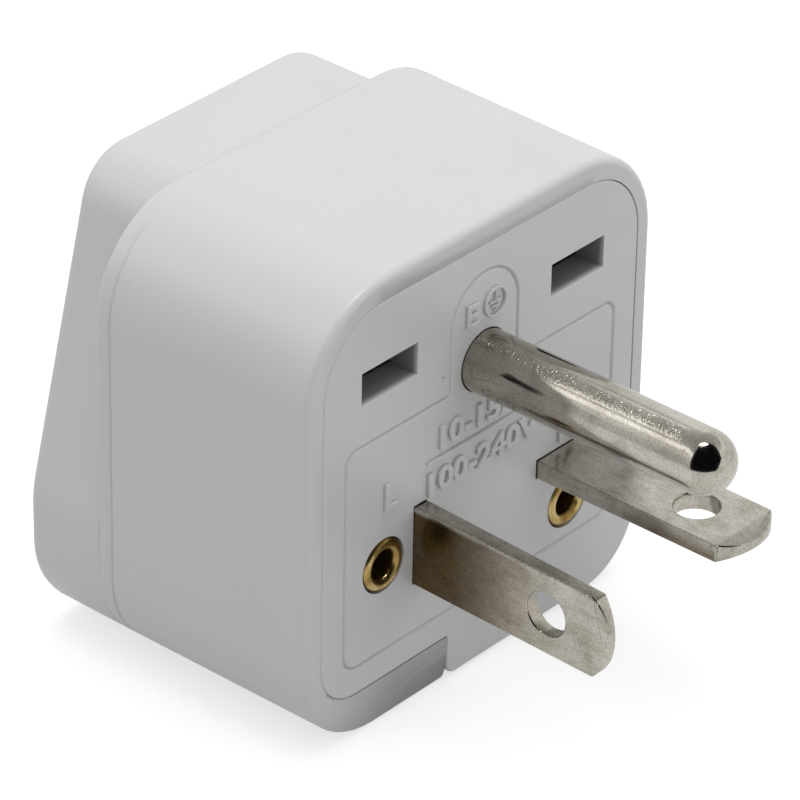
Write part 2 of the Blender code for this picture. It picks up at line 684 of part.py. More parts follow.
def build_eyelets(frame):
    """Hollow rivets: a rolled flange in the plate's recess, a tube, and a rolled head at the back."""
    flange_front = -EYELET_PROUD
    flange_back = flange_front + EYELET_FLANGE_THICKNESS
    head_back = HEAD_FRONT + EYELET_HEAD_THICKNESS
    profile = rounded([
        (EYELET_BORE, flange_front, EYELET_ROLL_RADIUS),
        (EYELET_FLANGE, flange_front, EYELET_EDGE_RADIUS),
        (EYELET_FLANGE, flange_back, 0),
        (EYELET_TUBE, flange_back, 0),
        (EYELET_TUBE, HEAD_FRONT, 0),
        (EYELET_HEAD, HEAD_FRONT, 0),
        (EYELET_HEAD, head_back, EYELET_EDGE_RADIUS),
        (EYELET_BORE, head_back, EYELET_ROLL_RADIUS),
    ], steps=ROLL_STEPS)
    for x, z, label in eyelet_places():
        add_piece(frame, f"{label}_eyelet", turned(profile, x, z), BRASS, (x, 0.0, z))


def leaf(base, pinch, ease, mouth, middle, side):
    """Corners of one leaf, from its fold at the base to its flared mouth, on one side of a middle."""
    return [
        (CONTACT_LEAF_BEND, middle + side * base, LEAF_TURN_RADIUS),
        (CONTACT_PINCH, middle + side * (pinch + SHEET / 2), LEAF_TURN_RADIUS),
        (CONTACT_EASE, middle + side * (ease + SHEET / 2), LEAF_TURN_RADIUS),
        (CONTACT_MOUTH, middle + side * (mouth + SHEET / 2), 0),
    ]


def build_live_contacts(frame):
    """Folded clips: one strip each, its two leaves pinched together and split into fingers."""
    base_level = (BASE_FRONT + BASE_BACK) / 2
    low_base = MOUTH_HALF_GAP
    for side, (x, z, label) in zip((-1, 1), eyelet_places()):
        top = z + EYELET_HEAD + SEAT_GAP + SHEET
        high_base = min(top - SOCKET_ROW, UPPER_BEND_HALF_GAP)
        upper = leaf(high_base, PINCH_HALF_GAP, EASE_HALF_GAP, MOUTH_HALF_GAP, SOCKET_ROW, 1)
        lower = leaf(low_base, PINCH_HALF_GAP, EASE_HALF_GAP, MOUTH_HALF_GAP, SOCKET_ROW, -1)
        corners = upper[::-1] + [
            (HEAD_FRONT + 2 * EYELET_HEAD_THICKNESS, top, CONTACT_FOLD_RADIUS),
            (base_level, top, CONTACT_FOLD_RADIUS),
            (base_level, SOCKET_ROW - low_base, CONTACT_FOLD_RADIUS),
        ] + lower
        outline = thickened(rounded(corners, False, FOLD_STEPS), SHEET)
        span = sorted((side * CONTACT_INNER, side * CONTACT_OUTER))
        contact = add_piece(frame, f"{label}_contact", prism(outline, *span, along_x), BRASS)
        behind = (BASE_BACK + CONTACT_FOLD_RADIUS, CONTACT_MOUTH + CUT_OVER)
        tall = (SOCKET_ROW - 3 * MOUTH_HALF_GAP, SOCKET_ROW + 4 * MOUTH_HALF_GAP)
        notch = sorted((side * (CONTACT_INNER - CUT_OVER), side * CONTACT_SPLIT))
        cut(contact, frame, f"cutter_{label}_flat_bay", block(notch, behind, tall))
        slit_x = side * (CONTACT_SPLIT + CONTACT_OUTER) / 2
        slit = (slit_x - FINGER_SLIT / 2, slit_x + FINGER_SLIT / 2)
        fingers = (CONTACT_LEAF_BEND + FINGER_SLIT_FROM_BEND, CONTACT_MOUTH + CUT_OVER)
        cut(contact, frame, f"cutter_{label}_fingers", block(slit, fingers, tall))
        through = (BASE_FRONT - SEAT_GAP, BASE_BACK + SEAT_GAP)
        cut(contact, frame, f"cutter_{label}_contact_hole", rod(x, z, EYELET_TUBE + EYELET_GAP, *through))
        hole = rod(side * CLIP_RIVET_X, SOCKET_ROW, CLIP_RIVET_RADIUS + RIVET_HOLE_GAP, *through)
        cut(contact, frame, f"cutter_{label}_rivet_hole", hole)


def build_flat_clips(frame):
    """Small clips for flat upright pins, riveted to the contacts' bases."""
    clip_front = BASE_BACK + SEAT_GAP
    clip_level = clip_front + SHEET / 2
    for side, label in ((-1, "line"), (1, "neutral")):
        x = side * FLAT_PIN_X
        corners = []
        for hand in (-1, 1):
            base_gap = FLAT_BASE_OUTER_GAP if hand == side else FLAT_BASE_INNER_GAP
            one_side = [
                (x + hand * (base_gap + SHEET / 2), clip_level, CONTACT_FOLD_RADIUS / 2),
                (x + hand * (base_gap + SHEET / 2), CONTACT_LEAF_BEND, CONTACT_FOLD_RADIUS),
                (x + hand * (FLAT_PINCH_HALF_GAP + SHEET / 2), CONTACT_PINCH, CONTACT_FOLD_RADIUS),
                (x + hand * (FLAT_MOUTH_HALF_GAP + SHEET / 2), CONTACT_MOUTH, 0),
            ]
            corners += one_side[::-1] if hand < 0 else one_side
        outline = thickened(rounded(corners, False, FOLD_STEPS), SHEET)
        levels = (SOCKET_ROW - FLAT_CLIP_HALF_HEIGHT, SOCKET_ROW + FLAT_CLIP_HALF_HEIGHT)
        clip = add_piece(frame, f"{label}_flat_clip", prism(outline, *levels, along_z), BRASS)
        through = (clip_front - SEAT_GAP, clip_front + SHEET + SEAT_GAP)
        rivet_x = side * CLIP_RIVET_X
        hole = rod(rivet_x, SOCKET_ROW, CLIP_RIVET_RADIUS + RIVET_HOLE_GAP, *through)
        cut(clip, frame, f"cutter_{label}_clip_hole", hole)
        build_clip_rivet(frame, label, rivet_x, clip_front + SHEET)


def build_clip_rivet(frame, label, x, clip_back):
    front_head_back = BASE_FRONT - RIVET_HOLE_GAP / 2
    back_head_front = clip_back + RIVET_HOLE_GAP
    profile = [
        (0.0, front_head_back - CLIP_RIVET_HEAD_THICKNESS),
        (CLIP_RIVET_HEAD, front_head_back - CLIP_RIVET_HEAD_THICKNESS),
        (CLIP_RIVET_HEAD, front_head_back),
        (CLIP_RIVET_RADIUS, front_head_back),
        (CLIP_RIVET_RADIUS, back_head_front),
        (CLIP_RIVET_HEAD, back_head_front),
        (CLIP_RIVET_RADIUS, back_head_front + CLIP_RIVET_HEAD_THICKNESS),
        (0.0, back_head_front + CLIP_RIVET_HEAD_THICKNESS),
    ]
    add_piece(frame, f"{label}_clip_rivet", turned(profile, x, SOCKET_ROW), BRASS, (x, 0.0, SOCKET_ROW))


def build_earth_contact(frame):
    """One strip folded round the earth pin's tail, its leaves split between the two pin heights."""
    base_level = (BASE_FRONT + BASE_BACK) / 2
    right = leaf(EARTH_CONTACT_HALF_BASE, PINCH_HALF_GAP, EASE_HALF_GAP, MOUTH_HALF_GAP, 0.0, 1)
    left = leaf(EARTH_CONTACT_HALF_BASE, PINCH_HALF_GAP, EASE_HALF_GAP, MOUTH_HALF_GAP, 0.0, -1)
    corners = left[::-1] + [
        (base_level, -EARTH_CONTACT_HALF_BASE, CONTACT_FOLD_RADIUS),
        (base_level, EARTH_CONTACT_HALF_BASE, CONTACT_FOLD_RADIUS),
    ] + right
    outline = [Vector((x, y)) for y, x in thickened(rounded(corners, False, FOLD_STEPS), SHEET)]
    shape = prism(outline, EARTH_CONTACT_BOTTOM, EARTH_CONTACT_TOP, along_z)
    contact = add_piece(frame, "earth_contact", shape, BRASS)
    through = (BASE_FRONT - SEAT_GAP, BASE_BACK + SEAT_GAP)
    cut(contact, frame, "cutter_earth_contact_hole", rod(0.0, 0.0, EARTH_TAIL_RADIUS + SEAT_GAP, *through))
    wide = (-2 * EARTH_CONTACT_HALF_BASE, 2 * EARTH_CONTACT_HALF_BASE)
    fingers = (CONTACT_LEAF_BEND + FINGER_SLIT_FROM_BEND, CONTACT_MOUTH + CUT_OVER)
    spacing = (EARTH_CONTACT_TOP - EARTH_CONTACT_BOTTOM) / EARTH_FINGERS
    for number in range(1, EARTH_FINGERS):
        level = EARTH_CONTACT_BOTTOM + number * spacing
        slit = (level - FINGER_SLIT / 2, level + FINGER_SLIT / 2)
        cut(contact, frame, f"cutter_earth_fingers_{number}", block(wide, fingers, slit))


def build_springs(frame):
    """Steel clamps that back up the live contacts' leaves where they pinch."""
    for side, label in ((-1, "line"), (1, "neutral")):
        corners = [
            (side * SPRING_INNER, SOCKET_ROW + SPRING_HALF_HEIGHT, 0),
            (side * SPRING_OUTER, SOCKET_ROW + SPRING_HALF_HEIGHT, SPRING_FOLD_RADIUS),
            (side * SPRING_OUTER, SOCKET_ROW - SPRING_HALF_HEIGHT, SPRING_FOLD_RADIUS),
            (side * SPRING_INNER, SOCKET_ROW - SPRING_HALF_HEIGHT, 0),
        ]
        outline = thickened(rounded(corners, False, FOLD_STEPS), SPRING_SHEET)
        add_piece(frame, f"{label}_spring", prism(outline, SPRING_FRONT, SPRING_BACK, along_y), SPRING_STEEL)


clear_scene()
carrier = face_frame()
build_shell(carrier)
build_plate(carrier)
build_blades(carrier)
build_earth_pin(carrier)
build_eyelets(carrier)
build_live_contacts(carrier)
build_flat_clips(carrier)
build_earth_contact(carrier)
build_springs(carrier)
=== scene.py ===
import math

import bmesh
import bpy
from mathutils import Matrix, Vector


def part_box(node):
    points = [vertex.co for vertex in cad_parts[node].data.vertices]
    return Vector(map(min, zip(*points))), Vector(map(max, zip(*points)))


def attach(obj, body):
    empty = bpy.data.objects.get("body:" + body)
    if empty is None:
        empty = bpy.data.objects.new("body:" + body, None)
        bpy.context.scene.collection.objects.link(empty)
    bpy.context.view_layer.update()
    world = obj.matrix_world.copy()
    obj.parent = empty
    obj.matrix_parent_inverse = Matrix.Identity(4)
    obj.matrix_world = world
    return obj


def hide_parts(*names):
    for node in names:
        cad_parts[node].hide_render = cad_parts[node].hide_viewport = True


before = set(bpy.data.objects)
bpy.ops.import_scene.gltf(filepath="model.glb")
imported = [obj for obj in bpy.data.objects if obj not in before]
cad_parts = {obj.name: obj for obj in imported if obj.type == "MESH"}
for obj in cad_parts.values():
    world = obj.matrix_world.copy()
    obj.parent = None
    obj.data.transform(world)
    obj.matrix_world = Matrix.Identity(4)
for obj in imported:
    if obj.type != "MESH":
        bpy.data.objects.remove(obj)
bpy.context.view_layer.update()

# Front plane and camera. Sizes are given in millimetres from the point where the round earth pin
# leaves the front plane, with X to the right, Y into the body and Z up. The camera stands left of
# and above the adapter, at the photograph's angle.
MM = 0.001
EARTH_PIN_HEIGHT = 25.4
FRONT = Vector((0.0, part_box("pin_plate")[0].y, EARTH_PIN_HEIGHT * MM))


def spot(x, y, z):
    """A point of the front plane's own millimetres, as a place in the frame."""
    return FRONT + Vector((x, y, z)) * MM


VIEW_TURN = math.radians(49.307)
VIEW_RISE = math.radians(31.719)
VIEW_ROLL = math.radians(1.117)
CAMERA_BACK = 376.2
CAMERA_ASIDE = -5.841
CAMERA_OVER = -2.815
CAMERA_LENS = 244.02
FILM_WIDTH = 36.0

aside = Vector((math.cos(VIEW_TURN), -math.sin(VIEW_TURN), 0.0))
back = Vector((
    -math.sin(VIEW_TURN) * math.cos(VIEW_RISE),
    -math.cos(VIEW_TURN) * math.cos(VIEW_RISE),
    math.sin(VIEW_RISE),
))
over = back.cross(aside)
rolled_aside = math.cos(VIEW_ROLL) * aside + math.sin(VIEW_ROLL) * over
rolled_over = math.cos(VIEW_ROLL) * over - math.sin(VIEW_ROLL) * aside

camera_data = bpy.data.cameras.new("camera")
camera_data.lens = CAMERA_LENS
camera_data.sensor_width = FILM_WIDTH
camera_data.clip_start = 0.01
camera_data.clip_end = 10.0
camera = bpy.data.objects.new("camera", camera_data)
bpy.context.scene.collection.objects.link(camera)
stand = CAMERA_BACK * back + CAMERA_ASIDE * rolled_aside + CAMERA_OVER * rolled_over
turn = Matrix((rolled_aside, rolled_over, back)).transposed()
camera.matrix_world = Matrix.Translation(FRONT + stand * MM) @ turn.to_4x4()
bpy.context.scene.camera = camera
bpy.context.scene.view_settings.view_transform = "Standard"

# Studio. A white table that runs out of view, a wide soft light overhead and a weaker one at the
# front, as for a catalogue picture. What metal mirrors is set apart from that light: a white room
# that is greyer overhead and near the horizon, a dark card round the camera and a small bright lamp.
WHITE = (1.0, 1.0, 1.0, 1.0)
SKY_LEVEL = 0.51
ROOM_LEFT = [
    (0.0, 0.62), (0.3, 0.66), (0.46, 1.0), (0.54, 1.0), (0.61, 1.7), (0.68, 1.7), (0.76, 0.5), (1.0, 0.5),
]
ROOM_RIGHT = [(0.0, 0.9), (0.56, 0.98), (0.7, 0.6), (1.0, 0.5)]
ROOM_MEETING = (-0.1, 0.15)


def reckoned(nodes, links, operation, first, second):
    node = nodes.new("ShaderNodeMath")
    node.operation = operation
    links.new(first, node.inputs[0])
    links.new(second, node.inputs[1])
    return node.outputs[0]


def between(nodes, links, value, low, high, start=0.0, end=1.0):
    """Low to high, each a number or another node's value, while the first value runs from start to end."""
    node = nodes.new("ShaderNodeMapRange")
    node.inputs["From Min"].default_value = start
    node.inputs["From Max"].default_value = end
    for socket, level in (("To Min", low), ("To Max", high)):
        if isinstance(level, float):
            node.inputs[socket].default_value = level
        else:
            links.new(level, node.inputs[socket])
    links.new(value, node.inputs["Value"])
    return node.outputs["Result"]


def ramp(nodes, links, value, stops):
    node = nodes.new("ShaderNodeValToRGB")
    node.color_ramp.elements[0].position, node.color_ramp.elements[0].color = stops[0]
    node.color_ramp.elements[1].position, node.color_ramp.elements[1].color = stops[-1]
    for position, colour in stops[1:-1]:
        node.color_ramp.elements.new(position).color = colour
    links.new(value, node.inputs["Fac"])
    return node.outputs["Color"]


def seen_straight(nodes, links):
    """A light path node, and 1 where the camera sees a surface, also through glass."""
    path = nodes.new("ShaderNodeLightPath")
    straight, through = path.outputs["Is Camera Ray"], path.outputs["Is Transmission Ray"]
    return path, reckoned(nodes, links, "MAXIMUM", straight, through)


def studio_world():
    """White where the camera sees it, the mirrored room in gloss, and an even sky for all other light."""
    world = bpy.data.worlds.new("studio")
    world.use_nodes = True
    nodes, links = world.node_tree.nodes, world.node_tree.links
    direction = nodes.new("ShaderNodeSeparateXYZ")
    links.new(nodes.new("ShaderNodeTexCoord").outputs["Generated"], direction.inputs["Vector"])
    sides = []
    for levels in (ROOM_LEFT, ROOM_RIGHT):
        greys = [(rise, (level, level, level, 1.0)) for rise, level in levels]
        sides.append(ramp(nodes, links, direction.outputs["Z"], greys))
    turned_right = between(nodes, links, direction.outputs["X"], 0.0, 1.0, *ROOM_MEETING)
    room = between(nodes, links, turned_right, *sides)
    path, seen = seen_straight(nodes, links)
    mirrored = between(nodes, links, path.outputs["Is Glossy Ray"], SKY_LEVEL, room)
    links.new(between(nodes, links, seen, mirrored, 1.0), nodes["Background"].inputs["Strength"])
    nodes["Background"].inputs["Color"].default_value = WHITE
    bpy.context.scene.world = world


studio_world()

TABLE_HALF = 1500.0
TABLE_TONE = 0.6
TABLE_ROUGHNESS = 0.9
TABLE_GLOW = 0.64
MIRRORED_GLOW = 0.36


def dull_surface(name, colour, roughness, glow=0.0):
    """A surface without gloss, which may glow white."""
    material = bpy.data.materials.new(name)
    material.use_nodes = True
    surface = material.node_tree.nodes["Principled BSDF"]
    surface.inputs["Base Color"].default_value = colour
    surface.inputs["Roughness"].default_value = roughness
    surface.inputs["Specular IOR Level"].default_value = 0.0
    surface.inputs["Emission Color"].default_value = WHITE
    surface.inputs["Emission Strength"].default_value = glow
    return material


def studio_piece(name, shape, material):
    mesh = bpy.data.meshes.new(name)
    shape.to_mesh(mesh)
    shape.free()
    mesh.materials.append(material)
    piece = bpy.data.objects.new(name, mesh)
    bpy.context.scene.collection.objects.link(piece)
    return piece


table_white = dull_surface("table_white", (TABLE_TONE, TABLE_TONE, TABLE_TONE, 1.0), TABLE_ROUGHNESS)
nodes, links = table_white.node_tree.nodes, table_white.node_tree.links
path, seen = seen_straight(nodes, links)
mirrored = between(nodes, links, path.outputs["Is Glossy Ray"], 0.0, MIRRORED_GLOW)
glow = between(nodes, links, seen, mirrored, TABLE_GLOW)
links.new(glow, nodes["Principled BSDF"].inputs["Emission Strength"])

table_shape = bmesh.new()
bmesh.ops.create_grid(table_shape, x_segments=1, y_segments=1, size=TABLE_HALF * MM)
table_top = studio_piece("table_top", table_shape, table_white)

CARD_WAY = Vector((-0.55, -0.53, 0.64)).normalized()
CARD_DISTANCE = 250.0
CARD_CORNERS = [
    (0.0, 355.0), (200.0, 300.0), (370.0, 30.0), (235.0, -300.0), (-365.0, -325.0), (-255.0, -55.0),
]
CARD_BLACK = (0.004, 0.004, 0.006, 1.0)
LAMP_WAY = Vector((-0.03, -0.115, 0.992)).normalized()
LAMP_DISTANCE = 150.0
LAMP_HALF_SIZES = (32.0, 11.0)
LAMP_TONE = (0.8, 0.8, 0.8, 1.0)
LAMP_GLOW = 12.0


def mirrored_card(name, shape, way, distance, colour, glow):
    """A flat card that only glossy surfaces show, laid out in millimetres and turned to face the pins."""
    side = over.cross(way).normalized()
    facing = Matrix((side, way.cross(side), way)).transposed().to_4x4()
    place = Matrix.Translation(FRONT + way * distance * MM) @ facing @ Matrix.Scale(MM, 4)
    bmesh.ops.transform(shape, matrix=place, verts=shape.verts)
    card = studio_piece(name, shape, dull_surface(name, colour, 1.0, glow))
    card.visible_camera = False
    card.visible_diffuse = False
    card.visible_shadow = False
    card.visible_transmission = False


card_shape = bmesh.new()
card_shape.faces.new([card_shape.verts.new((u, v, 0.0)) for u, v in CARD_CORNERS])
mirrored_card("dark_card", card_shape, CARD_WAY, CARD_DISTANCE, CARD_BLACK, 0.0)
lamp_shape = bmesh.new()
bmesh.ops.create_circle(lamp_shape, cap_ends=True, segments=12, radius=1.0)
bmesh.ops.scale(lamp_shape, vec=(*LAMP_HALF_SIZES, 1.0), verts=lamp_shape.verts)
mirrored_card("bright_lamp", lamp_shape, LAMP_WAY, LAMP_DISTANCE, LAMP_TONE, LAMP_GLOW)


def soft_light(name, size, power, place, aim):
    """A square area light, which metal doesn't mirror."""
    lamp = bpy.data.lights.new(name, "AREA")
    lamp.shape = "RECTANGLE"
    lamp.size = size * MM
    lamp.size_y = size * MM
    lamp.energy = power
    holder = bpy.data.objects.new(name, lamp)
    bpy.context.scene.collection.objects.link(holder)
    holder.location = spot(*place)
    holder.rotation_mode = "QUATERNION"
    holder.rotation_quaternion = (spot(*aim) - holder.location).to_track_quat("-Z", "Y")
    holder.visible_glossy = False


soft_light("overhead_light", size=420.0, power=0.98, place=(40.0, 40.0, 420.0), aim=(0.0, 0.0, 0.0))
soft_light("front_light", size=300.0, power=0.13, place=(180.0, -420.0, 160.0), aim=(0.0, 0.0, -5.0))

# Housing. One shell of white moulded plastic, satin from the mould, with a fine seam near the box's
# rear edge that runs out over the top. It holds every other piece, and the socket's contacts lie
# behind its rear openings. The socket's upper left corner and upper rear edge are tight.
PLASTIC_WHITE = (0.74, 0.742, 0.75, 1.0)
PLASTIC_CLOUD = (0.728, 0.73, 0.738, 1.0)
DUST = (0.16, 0.15, 0.14, 1.0)
# Painted shade colours: nearly black for the cavity behind the windows, dark grey for darker spans.
INSIDE_SHADE = (0.07, 0.06, 0.05, 1.0)
PAINTED_SHADE = (0.29, 0.29, 0.305, 1.0)
CLOUD_SCALE = 90.0
MOULD_GRAIN_SCALE = 5200.0
DUST_SPACING = 2.2
DUST_SIZE = 0.11
DUST_SHARE = 0.04
SHELL_GRAIN = 0.004
SHELL_ROUGHNESS = 0.3
# Painted shade: everything in the box's cavity behind the plate's front, short of the socket, turns nearly
# black.
SHADED_HOLLOW = [
    ("Y", 0.15, 2.3), ("Y", 17.5, 15.0),
    ("X", -16.6, -16.1), ("X", 16.6, 16.1),
    ("Z", -22.1, -21.8), ("Z", 6.0, 5.2),
]
# Painted shade: the rim's front strip under the plate, between about X -9 and -3, darker towards the bottom.
SHADED_RIM_STRIP = [("X", -16.5, -9.0), ("X", -2.5, -2.9), ("Z", -16.5, -25.4), ("Y", 4.0, 1.0)]


def new_material(name):
    """A material, its nodes, links and shader, and the place on a piece that its patterns follow."""
    material = bpy.data.materials.new(name)
    material.use_nodes = True
    nodes, links = material.node_tree.nodes, material.node_tree.links
    place = nodes.new("ShaderNodeTexCoord").outputs["Object"]
    return material, nodes, links, nodes["Principled BSDF"], place


def grain(nodes, links, place, scale, detail=2.0):
    noise = nodes.new("ShaderNodeTexNoise")
    noise.inputs["Scale"].default_value = scale
    noise.inputs["Detail"].default_value = detail
    links.new(place, noise.inputs["Vector"])
    return noise.outputs["Fac"]


def mixed(nodes, links, amount, first, second):
    node = nodes.new("ShaderNodeMix")
    node.data_type = "RGBA"
    links.new(amount, node.inputs["Factor"])
    for socket, colour in (("A", first), ("B", second)):
        if isinstance(colour, tuple):
            node.inputs[socket].default_value = colour
        else:
            links.new(colour, node.inputs[socket])
    return node.outputs["Result"]


def specks(nodes, links, place, spacing, size, share):
    """1 inside small spots: one place in each cell of the spacing, kept for a share of the cells."""
    cells = nodes.new("ShaderNodeTexVoronoi")
    cells.inputs["Scale"].default_value = 1.0 / (spacing * MM)
    links.new(place, cells.inputs["Vector"])
    reach = size / spacing
    near = between(nodes, links, cells.outputs["Distance"], 1.0, 0.0, reach * 0.7, reach)
    split = nodes.new("ShaderNodeSeparateColor")
    links.new(cells.outputs["Color"], split.inputs["Color"])
    kept = nodes.new("ShaderNodeMath")
    kept.operation = "LESS_THAN"
    kept.inputs[1].default_value = share
    links.new(split.outputs[0], kept.inputs[0])
    return reckoned(nodes, links, "MULTIPLY", near, kept.outputs[0])


def bumped(nodes, links, shader, height, distance):
    """Add relief to a shader, on top of any that it has."""
    bump = nodes.new("ShaderNodeBump")
    bump.inputs["Distance"].default_value = distance * MM
    links.new(height, bump.inputs["Height"])
    if shader.inputs["Normal"].links:
        links.new(shader.inputs["Normal"].links[0].from_socket, bump.inputs["Normal"])
    links.new(bump.outputs["Normal"], shader.inputs["Normal"])


def coordinate(nodes, links, place, axis, start, full):
    """0 to 1 while one of the front plane's coordinates in millimetres runs from start to full."""
    parts = nodes.new("ShaderNodeSeparateXYZ")
    links.new(place, parts.inputs["Vector"])
    offset = FRONT["XYZ".index(axis)]
    return between(nodes, links, parts.outputs[axis], 0.0, 1.0, offset + start * MM, offset + full * MM)


def within(nodes, links, place, spans):
    """1 inside a box with soft limits: for each span, an axis and the places where it starts and is full."""
    amount = coordinate(nodes, links, place, *spans[0])
    for span in spans[1:]:
        amount = reckoned(nodes, links, "MULTIPLY", amount, coordinate(nodes, links, place, *span))
    return amount


def moulded_plastic(name, grain_height, roughness, shaded_spans):
    """White plastic with faint clouds, rare specks and the mould's fine grain, with painted shade inside and
    in spans.
    """
    material, nodes, links, shader, place = new_material(name)
    cloud = grain(nodes, links, place, CLOUD_SCALE)
    body = ramp(nodes, links, cloud, [(0.3, PLASTIC_CLOUD), (0.7, PLASTIC_WHITE)])
    dust = specks(nodes, links, place, DUST_SPACING, DUST_SIZE, DUST_SHARE)
    body = mixed(nodes, links, dust, body, DUST)
    # Painted shade: nearly black in the hollow, dark grey in the given spans.
    body = mixed(nodes, links, within(nodes, links, place, SHADED_HOLLOW), body, INSIDE_SHADE)
    body = mixed(nodes, links, within(nodes, links, place, shaded_spans), body, PAINTED_SHADE)
    links.new(body, shader.inputs["Base Color"])
    fine = grain(nodes, links, place, MOULD_GRAIN_SCALE, 3.0)
    links.new(between(nodes, links, fine, roughness - 0.05, roughness + 0.05), shader.inputs["Roughness"])
    bumped(nodes, links, shader, fine, grain_height)
    return material


smooth_white = moulded_plastic("smooth_white_plastic", SHELL_GRAIN, SHELL_ROUGHNESS, SHADED_RIM_STRIP)

SAME_PLACE = 0.002
FLAT_ANGLE = math.radians(0.3)
SOFT_ANGLE = math.radians(32)
EDGE_STEPS = 3
SEAM = 18.15
SEAM_DEPTH = 0.12
SEAM_END = (9.4, 10.8)
BOX_CORNER = (10.6, 3.2)
SOCKET_START = 19.4
SOCKET_CORNER = (7.93, 5.5)
SOCKET_CORNER_RADIUS = 5.6
SOCKET_CORNER_TIP = (12.3, 11.1)
SOCKET_CORNER_WALL = 0.85
SOCKET_CORNER_FOOT = 6.6
TIGHTER_RADIUS = 4.6
REAR = 26.5
REAR_ROUNDING = 0.8
REAR_KEPT = 0.5
REAR_TIGHTENING = (6.8, 10.6)
NEAR = 0.05


def merged_copy(node):
    """A bmesh of a CAD node with its loose triangles merged and flat areas made whole."""
    shape = bmesh.new()
    shape.from_mesh(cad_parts[node].data)
    bmesh.ops.remove_doubles(shape, verts=shape.verts, dist=SAME_PLACE * MM)
    bmesh.ops.dissolve_limit(
        shape, angle_limit=FLAT_ANGLE, use_dissolve_boundaries=False, verts=shape.verts, edges=shape.edges,
    )
    return shape


def share_between(value, start, full):
    return min(max((value - start) / (full - start), 0.0), 1.0)


def fill_seam(place):
    """Raise the bottom of the seam to the surface, by more towards its end over the top."""
    if abs(place.y - SEAM) < NEAR and place.z > SEAM_END[0]:
        middle = Vector((math.copysign(BOX_CORNER[0], place.x), place.y, BOX_CORNER[1]))
        place += (place - middle).normalized() * SEAM_DEPTH * share_between(place.z, *SEAM_END)


def tighten_rear(place, rear_outline):
    """Draw the rounded rear edge towards its outer corner, by more near the top."""
    if place.y > REAR - REAR_ROUNDING - NEAR:
        nearest = min(rear_outline, key=lambda point: (point.xz - place.xz).length)
        if (nearest.xz - place.xz).length < REAR_ROUNDING + NEAR:
            kept = 1.0 - (1.0 - REAR_KEPT) * share_between(nearest.z, *REAR_TIGHTENING)
            place.xz = nearest.xz + (place.xz - nearest.xz) * kept
            place.y = REAR - (REAR - place.y) * kept


def tighten_corner(place):
    """Draw the socket's upper left corner towards its tip, to the tighter radius."""
    across = Vector((-place.x - SOCKET_CORNER[0], place.z - SOCKET_CORNER[1]))
    inset = SOCKET_CORNER_RADIUS - across.length
    rounded = -NEAR < inset < SOCKET_CORNER_WALL and across.x > -NEAR and place.z > SOCKET_CORNER_FOOT
    if place.y > SOCKET_START and rounded:
        tip = Vector((SOCKET_CORNER_TIP[0] - inset, SOCKET_CORNER_TIP[1] - inset))
        moved = tip + (Vector((-place.x, place.z)) - tip) * TIGHTER_RADIUS / SOCKET_CORNER_RADIUS
        place.x, place.z = -moved.x, moved.y


def tightened_housing():
    shape = merged_copy("housing_shell")
    places = {vertex: (vertex.co - FRONT) / MM for vertex in shape.verts}
    rounding_start = REAR - REAR_ROUNDING
    rear_outline = [place.copy() for place in places.values() if abs(place.y - rounding_start) < NEAR]
    for vertex, place in places.items():
        fill_seam(place)
        tighten_rear(place, rear_outline)
        tighten_corner(place)
        vertex.co = FRONT + place * MM
    return shape


def set_piece(name, shape, slot, material, *nodes_replaced, edge=0.0):
    """Put a finished shape in the scene, with rounded edges if asked, standing for CAD nodes."""
    mesh = bpy.data.meshes.new(name)
    shape.to_mesh(mesh)
    shape.free()
    mesh.shade_smooth()
    if not edge:
        mesh.set_sharp_from_angle(angle=SOFT_ANGLE)
    mesh.materials.append(material)
    piece = bpy.data.objects.new(name, mesh)
    bpy.context.scene.collection.objects.link(piece)
    if edge:
        rounding = piece.modifiers.new("rounded_edges", "BEVEL")
        rounding.width = edge * MM
        rounding.segments = EDGE_STEPS
        rounding.use_clamp_overlap = False
        rounding.limit_method = "ANGLE"
        rounding.angle_limit = SOFT_ANGLE
    even = piece.modifiers.new("even_shading", "WEIGHTED_NORMAL")
    even.keep_sharp = True
    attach(piece, "root")
    if nodes_replaced:
        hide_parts(*nodes_replaced)


set_piece("housing", tightened_housing(), "white_plastic", smooth_white, "housing_shell")

# Pin plate. A flat white moulding let into the front, with a corner that runs on to the lower right.
# Fine grooves frame a panel and an arch round the earth pin. The blades and rivets pass through it,
# and each rivet's rim sits in a shallow pocket.
PLATE_CORNERS = [
    (-16.69, -21.63, 3.7),
    (-3.19, -21.63, 0.25),
    (-3.19, -25.1, 1.0),
    (17.9, -25.1, 5.6),
    (17.9, -16.27, 0.4),
    (16.73, -16.27, 0.25),
    (16.73, 9.34, 5.9),
    (-16.69, 9.34, 5.9),
]
CORNER_STEPS = 12
PLATE_EDGE = [(0.0, 0.22), (0.02, 0.12), (0.08, 0.04), (0.18, 0.0)]
PLATE_BACK = 2.5
# Painted shade: the plate turns dark grey more than half a millimetre behind its front, in its windows, slots
# and holes.
PLATE_DEPTH_SHADE = [("Y", 0.08, 0.5), ("X", -17.1, -16.9), ("X", 17.1, 16.9), ("Z", -21.9, -21.7)]
PLATE_GRAIN = 0.005
PLATE_ROUGHNESS = 0.34
GROOVE_CORNERS = [
    (-14.3, -19.35, 1.4),
    (14.3, -19.35, 1.4),
    (14.3, -1.35, 1.0),
    (3.5, -1.35, 0.4),
    (3.5, 7.1, 3.45),
    (-3.5, 7.1, 3.45),
    (-3.5, -1.35, 0.4),
    (-14.3, -1.35, 1.0),
]
GROOVE_HALF_WIDTH = 0.17
GROOVE_DEPTH = 0.2
GROOVE_CLEAR = 0.05
THROUGH = (-1.0, 3.5)
WINDOWS = [((-12.85, -7.1), (2.0, 4.55)), ((7.1, 12.85), (2.0, 4.55))]
SLOT_GAP = 0.1
LINE_FACES = (-7.09, -5.87)
